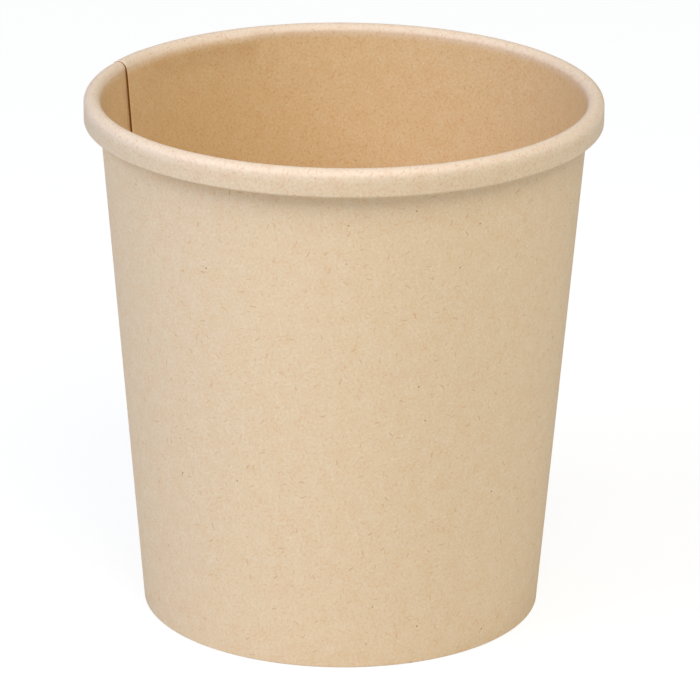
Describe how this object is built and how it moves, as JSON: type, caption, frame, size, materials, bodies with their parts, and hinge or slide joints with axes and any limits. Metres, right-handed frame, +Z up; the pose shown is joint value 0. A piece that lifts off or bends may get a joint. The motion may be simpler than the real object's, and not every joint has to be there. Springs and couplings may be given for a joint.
{
  "type": "paper ice cream tub",
  "caption": "Round tapered tub of folded kraft board with a rolled rim, a lapped side seam and a recessed base disc held in a folded foot.",
  "frame": {"origin": "centre of the circle that the tub stands on", "axes": "+Z up along the tub's axis, out of its mouth; the side seam lies at the back left, about 156 degrees from +X towards +Y"},
  "size_m": [0.098, 0.098, 0.1014],
  "materials": {
    "wall_board": "uncoated brown kraft board outside, thin clear barrier film inside",
    "disc_board": "brown kraft board with a thin clear barrier film on top"
  },
  "bodies": {
    "root": {"side_wall": "wall_board", "base_disc": "disc_board"}
  },
  "joints": []
}
